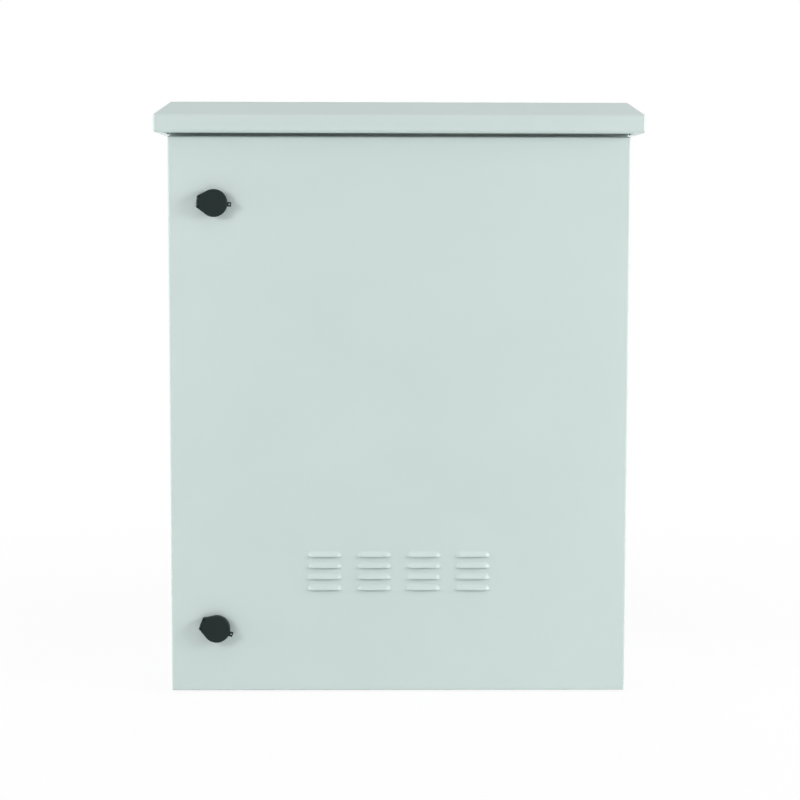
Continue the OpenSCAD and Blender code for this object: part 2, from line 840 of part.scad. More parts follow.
module at_filter_studs() {
  for (x = [-filter_stud_x, filter_stud_x], z = [-filter_stud_dz, filter_stud_dz])
    translate([x, door_in_y, filter_mid_z + z]) rotate([-90, 0, 0]) children();
}
module filter_mat() {
  ease = bend_r - sheet;
  color(felt) translate([ease - mat_w / 2, door_in_y, mat_z0 + ease])
    cube([mat_w - 2 * ease, mat_t, mat_z1 - mat_z0 - 2 * ease]);
}
module filter_cover() {
  pitch = (mat_z1 - mat_z0) / filter_slot_rows;
  color(inner_paint) difference() {
    union() {
      translate([0, door_in_y + mat_t + sheet, filter_mid_z]) rotate([-90, 0, 0])
        pan(mat_w + 2 * sheet, mat_z1 - mat_z0 + 2 * sheet, mat_t + sheet);
      for (s = [0, 1])
        mirror([s, 0, 0]) translate([(mat_w + sheet) / 2, door_in_y, mat_z0])
          cube([filter_ear + sheet / 2, sheet, mat_z1 - mat_z0]);
    }
    at_filter_studs() cylinder(d = clearance_d(m5), h = 4 * sheet, center = true);
    for (i = [0:louvre_columns - 1], j = [0:filter_slot_rows - 1])
      translate([
        (i - (louvre_columns - 1) / 2) * louvre_pitch_x, door_in_y + mat_t + sheet,
        filter_mid_z + (j - (filter_slot_rows - 1) / 2) * pitch
      ])
        rotate([90, 0, 0]) slot(louvre_w, filter_slot_h, 4 * sheet);
  }
}
module filter_studs() {
  color(zinc) at_filter_studs() cylinder(d = m5[0], h = sheet + m5[2] + thread_end);
}
module filter_nuts() {
  color(zinc) at_filter_studs() translate([0, 0, sheet]) hex_nut(m5);
}

// Locks, drawn along Z out of the door's face

module at_lock(i) {
  translate([lock_x, front_y, lock_z[i]]) rotate([90, 0, 0]) children();
}

// Outline of the dust cover: a disc drawn out to a flat end, all d inside its edge
function cover_tip(d) = [d - cover_beak, (cover_flat - d) / 2];
function cover_lean(d) =
  let (tip = cover_tip(d)) atan2(tip[1], tip[0]) - acos((cover_r - cover_kink - d) / norm(tip));
module cover_outline(d) {
  tip = cover_tip(d);
  touch = (cover_r - cover_kink - d) * [cos(cover_lean(d)), sin(cover_lean(d))];
  circle(cover_r - d);
  polygon([touch, tip, [tip[0], -tip[1]], [touch[0], -touch[1]]]);
}
module cover_lug(z) {
  root = cover_lug_l / 2;
  difference() {
    translate([cover_r - root, -cover_lug_w / 2, z]) cube([cover_lug_l + root, cover_lug_w, cover_lug_t]);
    translate([cover_r + cover_lug_l / 2, 0, z - cut]) cylinder(d = seal_hole_d, h = cover_lug_t + 2 * cut);
  }
}
// A bar along the cover's flat end, from an outline drawn in X and Z
module along_flat(length) {
  rotate([90, 0, 0]) linear_extrude(length, center = true) children();
}
module at_cover_pin() {
  translate([cover_pin_x, 0, cover_pin_z]) rotate([90, 0, 0]) children();
}
module lock_seal(i) {
  color(foam) at_lock(i) difference() {
    cylinder(r = cover_r - 2 * seat_inset, h = seal_t);
    translate([0, 0, -cut]) cylinder(r = barrel_r + barrel_gap, h = seal_t + 2 * cut);
  }
}
// The two ears that carry the cover's pin, cut from the cover's own outline
module cover_ears() {
  difference() {
    intersection() {
      linear_extrude(cover_top) cover_outline(0);
      along_flat(2 * cover_r) {
        translate([cover_pin_x - cover_hinge_r, seal_t]) square([2 * cover_hinge_r, cover_pin_z - seal_t]);
        intersection() {
          translate([cover_pin_x, cover_pin_z]) circle(cover_hinge_r);
          translate([cover_pin_x - cover_hinge_r, cover_pin_z]) square(2 * cover_hinge_r);
        }
      }
    }
    at_cover_pin() cylinder(r = cover_pin_r, h = 2 * cover_flat, center = true);
    translate([-2 * cover_r, -cover_knuckle / 2 - seat_gap, seat_top - cover_hinge_r])
      cube([2 * cover_r, cover_knuckle + 2 * seat_gap, cover_top]);
  }
}
module cover_seat(i) {
  color(black_plastic) at_lock(i) rotate([0, 0, -lock_roll[i]]) difference() {
    union() {
      translate([0, 0, seal_t]) linear_extrude(seat_top - seal_t) cover_outline(seat_inset);
      cover_ears();
      cover_lug(seat_top - cover_lug_t);
    }
    translate([0, 0, flange_z]) cylinder(r = flange_r + seat_gap, h = seat_top);
    cylinder(r = barrel_r + barrel_gap, h = 4 * seat_top, center = true);
    at_cover_pin() cylinder(r = cover_hinge_r + seat_gap, h = cover_knuckle + 2 * seat_gap, center = true);
  }
}
module cover_pin(i) {
  color(zinc) at_lock(i) rotate([0, 0, -lock_roll[i]]) at_cover_pin()
    cylinder(r = cover_pin_r, h = cover_flat, center = true);
}
// Section of the bevel round the cover's front edge, r from its middle
module bevel_section(r) {
  polygon([
    [r - cover_bevel - cut, cover_top + cut], [r + cut, cover_top + cut],
    [r + cut, cover_top - cover_bevel - cut]
  ]);
}
module cover_bevels() {
  lean = cover_lean(0);
  rotate([0, 0, -lean]) rotate_extrude(angle = 2 * lean) bevel_section(cover_r);
  for (s = [0, 1])
    mirror([0, s, 0]) rotate([0, 0, lean]) translate([0, cover_beak, 0]) rotate([90, 0, 0])
      linear_extrude(cover_beak + cut) bevel_section(cover_r - cover_kink);
}
module dust_cover(i) {
  plate_x = cover_pin_x + cover_hinge_r + seat_gap;
  color(black_plastic) at_lock(i) rotate([0, 0, -lock_roll[i]]) difference() {
    union() {
      difference() {
        translate([0, 0, cover_z]) linear_extrude(cover_t) cover_outline(0);
        translate([plate_x - cover_r, -cover_r, 0]) cube([cover_r, 2 * cover_r, 2 * cover_top]);
        translate([0, 0, cover_z - cut]) cylinder(r = flange_r, h = cut + cover_t - cover_skin);
        cover_bevels();
      }
      translate([cover_pin_x, -cover_knuckle / 2, cover_z])
        cube([plate_x - cover_pin_x, cover_knuckle, cover_t]);
      at_cover_pin() cylinder(r = cover_hinge_r, h = cover_knuckle, center = true);
      cover_lug(cover_z);
    }
    at_cover_pin() cylinder(r = cover_pin_r + run_gap, h = 2 * cover_flat, center = true);
  }
}
module lock_housing(i) {
  bore_end = housing_end + housing_floor;
  color(zinc) at_lock(i) difference() {
    union() {
      translate([0, 0, flange_z]) cylinder(r = flange_r, h = flange_t);
      translate([0, 0, housing_end]) cylinder(r = barrel_r, h = flange_z - housing_end);
    }
    translate([0, 0, bore_end]) cylinder(r = insert_r + run_gap, h = flange_z + flange_t - bore_end + cut);
    translate([0, 0, housing_end - cut]) cylinder(r = stem_r + run_gap, h = housing_floor + 2 * cut);
  }
}
module lock_nut(i) {
  color(zinc) at_lock(i) translate([0, 0, -sheet - lock_nut_t]) difference() {
    hexagon(lock_nut_w, lock_nut_t);
    translate([0, 0, -cut]) cylinder(r = barrel_r, h = lock_nut_t + 2 * cut);
  }
}
module lock_insert(i) {
  bottom = housing_end + housing_floor + seat_gap;
  color(zinc) at_lock(i) difference() {
    union() {
      difference() {
        translate([0, 0, bottom]) cylinder(r = insert_r, h = insert_face - bottom);
        translate([0, 0, insert_face - key_cup_h]) cylinder(r = key_cup_r, h = key_cup_h + cut);
      }
      translate([0, 0, insert_face - key_cup_h])
        cylinder(r = key_post_r, h = key_cup_h - key_post_depth, $fn = 3);
      translate([0, 0, cam_top]) cylinder(r = stem_r, h = bottom - cam_top);
      translate([0, 0, cam_top - cam_t / 2]) cube([square_w, square_w, cam_t], center = true);
    }
    translate([0, 0, cam_top - cam_t - cut]) cylinder(d = m5[0], h = cam_t + cam_bolt_grip + 2 * cut);
  }
}
module lock_cam(i) {
  color(zinc) at_lock(i) translate([0, 0, cam_top - cam_t]) difference() {
    linear_extrude(cam_t) {
      circle(d = cam_w);
      translate([-cam_w / 2, cam_w / 2 - cam_reach]) square([cam_w, cam_reach - cam_w / 2]);
      translate([0, cam_w / 2 - cam_reach]) circle(d = cam_w);
    }
    translate([0, 0, cam_t / 2]) cube([square_w, square_w, 3 * cam_t], center = true);
  }
}
module cam_bolt(i) {
  color(zinc) at_lock(i) translate([0, 0, cam_top - cam_t]) mirror([0, 0, 1]) {
    washer(m5);
    translate([0, 0, washer_t]) hex_bolt(m5, washer_t + cam_t + cam_bolt_grip);
  }
}

module lower_lock_seal() {
  lock_seal(0);
}
module upper_lock_seal() {
  lock_seal(1);
}
module lower_cover_seat() {
  cover_seat(0);
}
module upper_cover_seat() {
  cover_seat(1);
}
module lower_cover_pin() {
  cover_pin(0);
}
module upper_cover_pin() {
  cover_pin(1);
}
module lower_lock_housing() {
  lock_housing(0);
}
module upper_lock_housing() {
  lock_housing(1);
}
module lower_lock_nut() {
  lock_nut(0);
}
module upper_lock_nut() {
  lock_nut(1);
}
module lower_lock_insert() {
  lock_insert(0);
}
module upper_lock_insert() {
  lock_insert(1);
}
module lower_lock_cam() {
  lock_cam(0);
}
module upper_lock_cam() {
  lock_cam(1);
}
module lower_cam_bolt() {
  cam_bolt(0);
}
module upper_cam_bolt() {
  cam_bolt(1);
}
module lower_dust_cover() {
  dust_cover(0);
}
module upper_dust_cover() {
  dust_cover(1);
}

body_wrap();
top_panel();
floor_panel();
gland_plate();
gland_gasket();
gland_screws();
mounting_plate();
plate_studs();
plate_nuts();
earth_stud();
earth_nut();
roof();
roof_rail_left();
roof_rail_right();
roof_bolts();
roof_nuts();
upper_hinge_base();
lower_hinge_base();
upper_hinge_pin();
lower_hinge_pin();
hinge_screws();
hinge_nuts();
door_panel();
door_gasket();
door_rail_left();
door_rail_right();
filter_mat();
filter_cover();
filter_studs();
filter_nuts();
upper_hinge_leaf();
lower_hinge_leaf();
door_earth_stud();
door_earth_nut();
upper_lock_seal();
lower_lock_seal();
upper_cover_seat();
lower_cover_seat();
upper_cover_pin();
lower_cover_pin();
upper_lock_housing();
lower_lock_housing();
upper_lock_nut();
lower_lock_nut();
upper_lock_insert();
lower_lock_insert();
upper_lock_cam();
lower_lock_cam();
upper_cam_bolt();
lower_cam_bolt();
upper_dust_cover();
lower_dust_cover();
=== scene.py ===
# %% [markdown]
# # Roadside utility cabinet
# A free-standing sheet-steel cabinet: one door, a hipped rain roof, two locks under black dust
# covers, and a field of pressed louvres. The solids arrive packed from the CAD source and stay
# where they are. This script gives each of them a finish, swaps those with folds, worn edges,
# threads or foam for finer meshes, and then builds the stage, the light and the camera.

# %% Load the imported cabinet
import json
import math

import bmesh
import bpy
from mathutils import Matrix, Vector, noise

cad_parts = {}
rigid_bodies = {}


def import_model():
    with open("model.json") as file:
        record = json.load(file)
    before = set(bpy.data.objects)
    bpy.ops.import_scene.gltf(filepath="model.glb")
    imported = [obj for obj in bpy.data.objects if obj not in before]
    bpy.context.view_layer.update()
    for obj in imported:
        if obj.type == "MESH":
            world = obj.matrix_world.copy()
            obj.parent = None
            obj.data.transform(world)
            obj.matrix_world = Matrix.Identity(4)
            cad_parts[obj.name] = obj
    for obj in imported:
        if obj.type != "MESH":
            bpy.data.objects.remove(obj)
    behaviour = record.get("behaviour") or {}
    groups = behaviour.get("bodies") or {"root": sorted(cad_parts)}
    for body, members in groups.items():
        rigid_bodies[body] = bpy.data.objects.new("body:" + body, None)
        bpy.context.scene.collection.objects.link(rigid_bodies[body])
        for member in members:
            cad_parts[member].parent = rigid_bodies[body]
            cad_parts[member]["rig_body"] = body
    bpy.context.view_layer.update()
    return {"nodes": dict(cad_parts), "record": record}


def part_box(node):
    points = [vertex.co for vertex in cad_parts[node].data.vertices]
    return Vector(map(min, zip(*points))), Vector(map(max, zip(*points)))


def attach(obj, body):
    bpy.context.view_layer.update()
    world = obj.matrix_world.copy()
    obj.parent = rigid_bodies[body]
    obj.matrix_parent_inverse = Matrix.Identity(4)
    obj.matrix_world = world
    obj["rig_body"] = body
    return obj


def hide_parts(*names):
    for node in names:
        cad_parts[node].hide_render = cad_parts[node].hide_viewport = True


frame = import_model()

nodes = frame["nodes"]
mm = 0.001

# %% [markdown]
# ## Two helpers for finishes
# Blender's shaders take linear light values, while a colour picked from a chart is an sRGB hex
# value, so one function turns the second into the first. The other adds a node to a material: its
# settings, its input values and its links in one call, which keeps a material readable as a list.
# Some nodes have several sockets of one name, and those are counted from 0 instead.

# %% Colour and node helpers
FACTOR, FIRST, SECOND, MIXED = 0, 6, 7, 2  # sockets of a Mix node that mixes colours


def linear(hex_colour):
    """An sRGB hex colour as the linear RGBA that a shader takes."""
    channels = [int(hex_colour[i : i + 2], 16) / 255 for i in (1, 3, 5)]
    return [c / 12.92 if c <= 0.04045 else ((c + 0.055) / 1.055) ** 2.4 for c in channels] + [1]


def add(tree, kind, inputs=(), **settings):
    """One node with its settings. An input is a value, or another node's output to link."""
    made = tree.nodes.new("ShaderNode" + kind)
    for name, value in settings.items():
        setattr(made, name, value)
    for name, value in dict(inputs).items():
        if isinstance(value, bpy.types.NodeSocket):
            tree.links.new(value, made.inputs[name])
        else:
            made.inputs[name].default_value = value
    return made


def new_finish(name):
    """An empty material, and the coordinates its patterns are laid out in, in metres."""
    material = bpy.data.materials.new(name)
    material.use_nodes = True
    material.node_tree.nodes.clear()
    place = add(material.node_tree, "TexCoord").outputs["Object"]
    return material, material.node_tree, place


print("a mid grey is", [round(c, 3) for c in linear("#808080")])

# %% [markdown]
# ## Powder-coated steel
# The body, door and roof are sprayed with dry polyester powder and baked. The powder flows together
# but never quite flat, so the coat shows "orange peel": a shallow waviness that breaks up
# reflections, with a satin sheen over an even colour. A single flat colour would look like paper.
# The peel is a noise bump, and a second, very wide noise gives the slight unevenness of a sprayed
# sheet.

# %% Powder-coated steel
PEEL_MM = 2.0  # real orange peel is 1 to 2 mm across
PEEL_DRAWN_MM = 4.0  # drawn coarser, as 2 mm is about one pixel at this distance
PEEL_DEEP_MM = 0.05  # height of the waves
CLOUD_MM = 180.0  # spacing of the soft light and dark clouds of a sprayed sheet

powder_coat, tree, place = new_finish("powder_coated_steel")
cloud = add(tree, "TexNoise", {"Vector": place, "Scale": 1 / (CLOUD_MM * mm), "Detail": 2})
tone = add(
    tree,
    "Mix",
    {FACTOR: cloud.outputs["Fac"], FIRST: linear("#c8d6d3"), SECOND: linear("#cddbd8")},
    data_type="RGBA",
)
peel = add(tree, "TexNoise", {"Vector": place, "Scale": 1 / (PEEL_DRAWN_MM * mm), "Detail": 3})
relief = add(
    tree,
    "Bump",
    {"Height": peel.outputs["Fac"], "Strength": 0.5, "Distance": PEEL_DEEP_MM * mm},
)
satin = add(tree, "MapRange", {"Value": peel.outputs["Fac"], "To Min": 0.38, "To Max": 0.50})
coat = add(
    tree,
    "BsdfPrincipled",
    {
        "Base Color": tone.outputs[MIXED],
        "Roughness": satin.outputs["Result"],
        "IOR": 1.5,
        "Normal": relief.outputs["Normal"],
    },
)
add(tree, "OutputMaterial", {"Surface": coat.outputs["BSDF"]})
print(powder_coat.name, "peel drawn at", PEEL_DRAWN_MM, "mm for", PEEL_MM, "mm")

# %% [markdown]
# ## Moulded black polyamide
# The dust covers and their seats are injection moulded in glass-filled nylon. The mould is spark
# eroded, so the skin is matt with a fine even grain. The grain's pits swallow most of the gloss
# that a smooth nylon skin would show, which the specular level says, and what is left makes the
# black a little grey where it catches the light. The pits are also painted a little darker than the
# grain's peaks, as painted shade.

# %% Moulded black polyamide
SPARK_GRAIN_MM = 0.2  # a spark-eroded mould's grain
SPARK_DRAWN_MM = 0.8  # drawn coarser, so that it shows
SPARK_DEEP_MM = 0.05  # depth of its pits

black_plastic, tree, place = new_finish("moulded_black_polyamide")
grain = add(tree, "TexNoise", {"Vector": place, "Scale": 1 / (SPARK_DRAWN_MM * mm), "Detail": 2})
relief = add(
    tree,
    "Bump",
    {"Height": grain.outputs["Fac"], "Strength": 0.4, "Distance": SPARK_DEEP_MM * mm},
)
# painted shade: the grain's pits are coloured a little darker than its peaks
tone = add(
    tree,
    "Mix",
    {FACTOR: grain.outputs["Fac"], FIRST: linear("#131f1e"), SECOND: linear("#192726")},
    data_type="RGBA",
)
plastic = add(
    tree,
    "BsdfPrincipled",
    {
        "Base Color": tone.outputs[MIXED],
        "Roughness": 0.5,
        "IOR": 1.53,
        "Specular IOR Level": 0.18,
        "Normal": relief.outputs["Normal"],
    },
)
add(tree, "OutputMaterial", {"Surface": plastic.outputs["BSDF"]})
print(black_plastic.name, "grain drawn at", SPARK_DRAWN_MM, "mm for", SPARK_GRAIN_MM, "mm")

# %% [markdown]
# ## Galvanised sheet
# The mounting plate and the gland plate are cut from hot-dip galvanised sheet. Zinc freezes in
# flat crystals, the spangle, each reflecting a little differently. A Voronoi texture draws such
# cells: its colour output is one random value for each cell, which shifts roughness and tone.

# %% Galvanised sheet
SPANGLE_MM = 9.0  # width of one zinc crystal

galvanised_sheet, tree, place = new_finish("galvanised_sheet")
crystal = add(tree, "TexVoronoi", {"Vector": place, "Scale": 1 / (SPANGLE_MM * mm)})
tone = add(
    tree,
    "Mix",
    {FACTOR: crystal.outputs["Color"], FIRST: linear("#a6abae"), SECOND: linear("#c3c7c9")},
    data_type="RGBA",
)
sheen = add(tree, "MapRange", {"Value": crystal.outputs["Color"], "To Min": 0.32, "To Max": 0.52})
zinc = add(
    tree,
    "BsdfPrincipled",
    {"Base Color": tone.outputs[MIXED], "Metallic": 1, "Roughness": sheen.outputs["Result"]},
)
add(tree, "OutputMaterial", {"Surface": zinc.outputs["BSDF"]})
print(galvanised_sheet.name, "spangle", SPANGLE_MM, "mm")

# %% [markdown]
# ## Die-cast zinc
# Hinges and lock barrels are cast in zinc alloy and tumbled. The skin is satin, slightly mottled
# where the metal chilled, with a fine grain left by the tumbling stones.

# %% Die-cast zinc
CHILL_MM = 7.0  # size of the mottling
TUMBLE_MM = 0.5  # marks of the tumbling stones
TUMBLE_DEEP_MM = 0.02  # depth of these marks

zinc_casting, tree, place = new_finish("die_cast_zinc")
chill = add(tree, "TexNoise", {"Vector": place, "Scale": 1 / (CHILL_MM * mm), "Detail": 3})
stones = add(tree, "TexNoise", {"Vector": place, "Scale": 1 / (TUMBLE_MM * mm), "Detail": 2})
tone = add(
    tree,
    "Mix",
    {FACTOR: chill.outputs["Fac"], FIRST: linear("#999c9d"), SECOND: linear("#b3b5b5")},
    data_type="RGBA",
)
satin = add(tree, "MapRange", {"Value": chill.outputs["Fac"], "To Min": 0.34, "To Max": 0.50})
relief = add(
    tree,
    "Bump",
    {"Height": stones.outputs["Fac"], "Strength": 0.3, "Distance": TUMBLE_DEEP_MM * mm},
)
cast = add(
    tree,
    "BsdfPrincipled",
    {
        "Base Color": tone.outputs[MIXED],
        "Metallic": 1,
        "Roughness": satin.outputs["Result"],
        "Normal": relief.outputs["Normal"],
    },
)
add(tree, "OutputMaterial", {"Surface": cast.outputs["BSDF"]})
print(zinc_casting.name, "mottling", CHILL_MM, "mm")

# %% [markdown]
# ## Zinc-plated steel
# Screws, nuts, studs, pins and cams are cold-formed steel with a thin bright zinc plating. A
# passivation dip leaves a faint blue to straw tint that changes over a few millimetres.

# %% Zinc-plated steel
TINT_MM = 5.0  # how quickly the passivation's tint changes

plated_steel, tree, place = new_finish("zinc_plated_steel")
tint = add(tree, "TexNoise", {"Vector": place, "Scale": 1 / (TINT_MM * mm), "Detail": 1})
tone = add(
    tree,
    "Mix",
    {FACTOR: tint.outputs["Fac"], FIRST: linear("#b3bac2"), SECOND: linear("#c6c3b6")},
    data_type="RGBA",
)
polish = add(tree, "MapRange", {"Value": tint.outputs["Fac"], "To Min": 0.22, "To Max": 0.34})
plating = add(
    tree,
    "BsdfPrincipled",
    {"Base Color": tone.outputs[MIXED], "Metallic": 1, "Roughness": polish.outputs["Result"]},
)
add(tree, "OutputMaterial", {"Surface": plating.outputs["BSDF"]})
print(plated_steel.name, "tint", TINT_MM, "mm")

# %% [markdown]
# ## Turned brass
# The earth studs and their nuts are turned brass. Air dulls brass in soft brownish clouds, so the
# colour runs between fresh and dulled metal, and the dull parts are rougher.

# %% Turned brass
TARNISH_MM = 4.0  # size of the dulled clouds

brass, tree, place = new_finish("turned_brass")
dulled = add(tree, "TexNoise", {"Vector": place, "Scale": 1 / (TARNISH_MM * mm), "Detail": 3})
tone = add(
    tree,
    "Mix",
    {FACTOR: dulled.outputs["Fac"], FIRST: linear("#d0ae62"), SECOND: linear("#a98545")},
    data_type="RGBA",
)
polish = add(tree, "MapRange", {"Value": dulled.outputs["Fac"], "To Min": 0.24, "To Max": 0.42})
turned_brass = add(
    tree,
    "BsdfPrincipled",
    {"Base Color": tone.outputs[MIXED], "Metallic": 1, "Roughness": polish.outputs["Result"]},
)
add(tree, "OutputMaterial", {"Surface": turned_brass.outputs["BSDF"]})
print(brass.name, "tarnish", TARNISH_MM, "mm")

# %% [markdown]
# ## Foamed polyurethane
# The door's seal is foam, poured on by a nozzle and left to rise. Its skin is matt and dark, and
# dimpled by the cells just under it. Voronoi distance makes rounded dimples of the size of a cell.
# The same distance paints each dimple darker than the ridges round it, as painted shade.

# %% Foamed polyurethane
CELL_MM = 0.6  # size of a foam cell
CELL_DRAWN_MM = 1.5  # drawn coarser, so that the skin doesn't look smooth
CELL_DEEP_MM = 0.2  # depth of a dimple

foam_seal, tree, place = new_finish("foamed_polyurethane")
cells = add(tree, "TexVoronoi", {"Vector": place, "Scale": 1 / (CELL_DRAWN_MM * mm)})
relief = add(
    tree,
    "Bump",
    {"Height": cells.outputs["Distance"], "Strength": 0.5, "Distance": CELL_DEEP_MM * mm},
)
# painted shade: the dimples are coloured darker than the ridges between them
tone = add(
    tree,
    "Mix",
    {FACTOR: cells.outputs["Distance"], FIRST: linear("#2b2e2f"), SECOND: linear("#3d4142")},
    data_type="RGBA",
)
foam = add(
    tree,
    "BsdfPrincipled",
    {"Base Color": tone.outputs[MIXED], "Roughness": 0.88, "Normal": relief.outputs["Normal"]},
)
add(tree, "OutputMaterial", {"Surface": foam.outputs["BSDF"]})
print(foam_seal.name, "cells drawn at", CELL_DRAWN_MM, "mm for", CELL_MM, "mm")

# %% [markdown]
# ## Polyester fleece
# The filter mat behind the louvres is bonded polyester fibre. Long fibres lie flat in all
# directions, so the surface is a tangle of light threads with hollows between them. Noise stretched
# along three directions, of which the highest counts, gives such a tangle. The hollows are painted
# darker than the threads, as painted shade.

# %% Polyester fleece
FIBRE_MM = 0.05  # thickness of a fibre
FIBRE_DRAWN_MM = 1.0  # drawn as bundles of fibres
FIBRE_STRETCH = 7  # length of a bundle against its width
FIBRE_ANGLES = (20, 80, 140)  # how the bundles lie, in degrees
FIBRE_DEEP_MM = 0.4  # depth of the hollows between them

filter_fleece, tree, place = new_finish("bonded_polyester_fleece")
tangle = None
for angle in FIBRE_ANGLES:
    lie = add(
        tree,
        "Mapping",
        {
            "Vector": place,
            "Rotation": (0, math.radians(angle), 0),
            "Scale": (1 / FIBRE_STRETCH, 1, 1),
        },
    )
    fibres = add(
        tree,
        "TexNoise",
        {"Vector": lie.outputs["Vector"], "Scale": 1 / (FIBRE_DRAWN_MM * mm), "Detail": 2},
    )
    if tangle is None:
        tangle = fibres.outputs["Fac"]
    else:
        both = add(tree, "Math", {0: tangle, 1: fibres.outputs["Fac"]}, operation="MAXIMUM")
        tangle = both.outputs["Value"]
relief = add(
    tree,
    "Bump",
    {"Height": tangle, "Strength": 0.7, "Distance": FIBRE_DEEP_MM * mm},
)
# painted shade: the hollows of the tangle are coloured darker than its threads
tone = add(
    tree,
    "Mix",
    {FACTOR: tangle, FIRST: linear("#b9bab3"), SECOND: linear("#eeefe9")},
    data_type="RGBA",
)
fleece = add(
    tree,
    "BsdfPrincipled",
    {
        "Base Color": tone.outputs[MIXED],
        "Roughness": 1,
        "Sheen Weight": 0.25,
        "Normal": relief.outputs["Normal"],
    },
)
add(tree, "OutputMaterial", {"Surface": fleece.outputs["BSDF"]})
print(filter_fleece.name, "fibres drawn at", FIBRE_DRAWN_MM, "mm for", FIBRE_MM, "mm")

# %% [markdown]
# ## A finish for every solid
# The imported record says which finish each solid takes, so the solids don't need a list here. Each
# gets its material in place of the plain colour that came with it.

# %% A finish for every solid
FINISHES = {
    "powder_coat": powder_coat,
    "galvanised_sheet": galvanised_sheet,
    "zinc_casting": zinc_casting,
    "plated_steel": plated_steel,
    "brass": brass,
    "black_plastic": black_plastic,
    "foam_seal": foam_seal,
    "filter_fleece": filter_fleece,
}
for part in frame["record"]["subparts"]:
    solid = nodes[part["node"]]
    solid.data.materials.clear()
    solid.data.materials.append(FINISHES[part["material_slot"]])

# %% [markdown]
# ## A helper for finer pieces
# A finer mesh stands for a solid of the frame: it takes that solid's place and finish, and moves
# with the same body. Every piece below is made through this one function, so that none can be left
# behind when the door opens. Edges that turn by more than the crease angle stay sharp, and a
# Weighted Normal modifier keeps a wide flat face flat up to its rounded edge.

# %% Put a finer mesh in a solid's place
CREASE = math.radians(35)
finish_of = {part["node"]: part["material_slot"] for part in frame["record"]["subparts"]}


def stand_for(node, name, points, faces):
    """A new piece made of these points, in metres, that takes a solid's place."""
    mesh = bpy.data.meshes.new(name)
    mesh.from_pydata(points, [], faces)
    mesh.validate()
    mesh.materials.append(FINISHES[finish_of[node]])
    mesh.shade_smooth()
    mesh.set_sharp_from_angle(angle=CREASE)
    piece = bpy.data.objects.new(name, mesh)
    bpy.context.scene.collection.objects.link(piece)
    even = piece.modifiers.new("even_shading", "WEIGHTED_NORMAL")
    even.keep_sharp = True
    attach(piece, nodes[node]["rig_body"])
    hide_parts(node)
    return piece


print("finishes", sorted(set(finish_of.values())))

# %% [markdown]
# ## Softened edges
# No real edge is perfectly sharp: sheet is deburred, castings are tumbled, and a mould has a small
# radius in every corner. Such an edge shows as a thin bright line. The solids come in as separate
# faces, so they are welded together, flat faces are joined into one, and every sharp edge is
# bevelled. The roof and the door need no bevel, only the weld: their folds and louvres are made of
# narrow steps, which now shade as one smooth curve. A louvre's slopes have points in line along
# their edges, so they are split into even triangles here and none without area is left.

# %% Softening helper
WELD = 0.002 * mm  # points nearer than this are one
FLAT = math.radians(0.3)  # faces that turn by less are joined into one
ROUND_STEPS, ROUND_PROFILE = 2, 0.5  # a rounded edge has two faces, on a circle's arc
SLOPE_AREA = 400 * mm * mm  # a louvre's slope is smaller, the sheet round it is larger


def softened(node, name, width):
    """A copy of a solid, welded, with its sharp edges rounded to this width, if it has one."""
    work = bmesh.new()
    work.from_mesh(nodes[node].data)
    bmesh.ops.remove_doubles(work, verts=work.verts, dist=WELD)
    bmesh.ops.dissolve_limit(work, angle_limit=FLAT, verts=work.verts, edges=work.edges)
    if width:
        sharp = [e for e in work.edges if e.is_manifold and e.calc_face_angle() > CREASE]
        bmesh.ops.bevel(
            work,
            geom=sharp,
            offset=width,
            segments=ROUND_STEPS,
            profile=ROUND_PROFILE,
            affect="EDGES",
            clamp_overlap=False,
        )
    else:
        slopes = [f for f in work.faces if len(f.verts) > 4 and f.calc_area() < SLOPE_AREA]
        bmesh.ops.triangulate(work, faces=slopes, quad_method="BEAUTY", ngon_method="BEAUTY")
    work.verts.index_update()
    points = [v.co.copy() for v in work.verts]
    faces = [[v.index for v in face.verts] for face in work.faces]
    work.free()
    return stand_for(node, name, points, faces)


print("faces are joined below", round(math.degrees(FLAT), 1), "degrees")

# %% Soften the solids
LEVELS = ("upper", "lower")
SOFT_EDGES_MM = {  # how each piece of a lock or a hinge is made, and how round its edges are
    "dust_cover": ("moulded", 0.35),
    "cover_seat": ("moulded", 0.3),
    "hinge_base": ("cast", 0.35),
    "hinge_leaf": ("cast", 0.35),
    "lock_nut": ("cast", 0.4),
    "lock_insert": ("cast", 0.25),
    "lock_cam": ("stamped", 0.35),
}

for node, name in (("roof", "folded_roof"), ("door_panel", "pressed_door")):
    piece = softened(node, name, 0)
    print(piece.name, len(piece.data.polygons), "faces")
for level in LEVELS:
    for part, (made, width_mm) in SOFT_EDGES_MM.items():
        piece = softened(f"{level}_{part}", f"{made}_{level}_{part}", width_mm * mm)
        print(piece.name, len(piece.data.polygons), "faces, edges", width_mm, "mm")

# %% [markdown]
# ## Poured door seal
# A nozzle lays the door's seal as a bead of liquid foam that rises into a dome with soft shoulders
# and turns the corners in a small curve. A box-shaped ring can't show that, so a dome section is
# carried along the nozzle's path. The frame's lip has left a shallow groove along the middle, and
# the bead is a little fuller where its end meets its start.

# %% Path and section helpers
def rounded_path(lo, hi, radius, steps):
    """A closed path round a rectangle with rounded corners, given by two opposite corners."""
    path = []
    corners = ((hi[0], hi[1], 0), (lo[0], hi[1], 90), (lo[0], lo[1], 180), (hi[0], lo[1], 270))
    for x, y, start in corners:
        centre_x = x - math.copysign(radius, x - (lo[0] + hi[0]) / 2)
        centre_y = y - math.copysign(radius, y - (lo[1] + hi[1]) / 2)
        for k in range(steps + 1):
            a = math.radians(start + 90 * k / steps)
            path.append((centre_x + radius * math.cos(a), centre_y + radius * math.sin(a)))
    return path


def subdivided(path, step):
    """The same closed path with no two points further apart than step."""
    out = []
    for a, b in zip(path, path[1:] + path[:1]):
        count = max(1, math.ceil(math.dist(a, b) / step))
        for k in range(count):
            out.append((a[0] + (b[0] - a[0]) * k / count, a[1] + (b[1] - a[1]) * k / count))
    return out


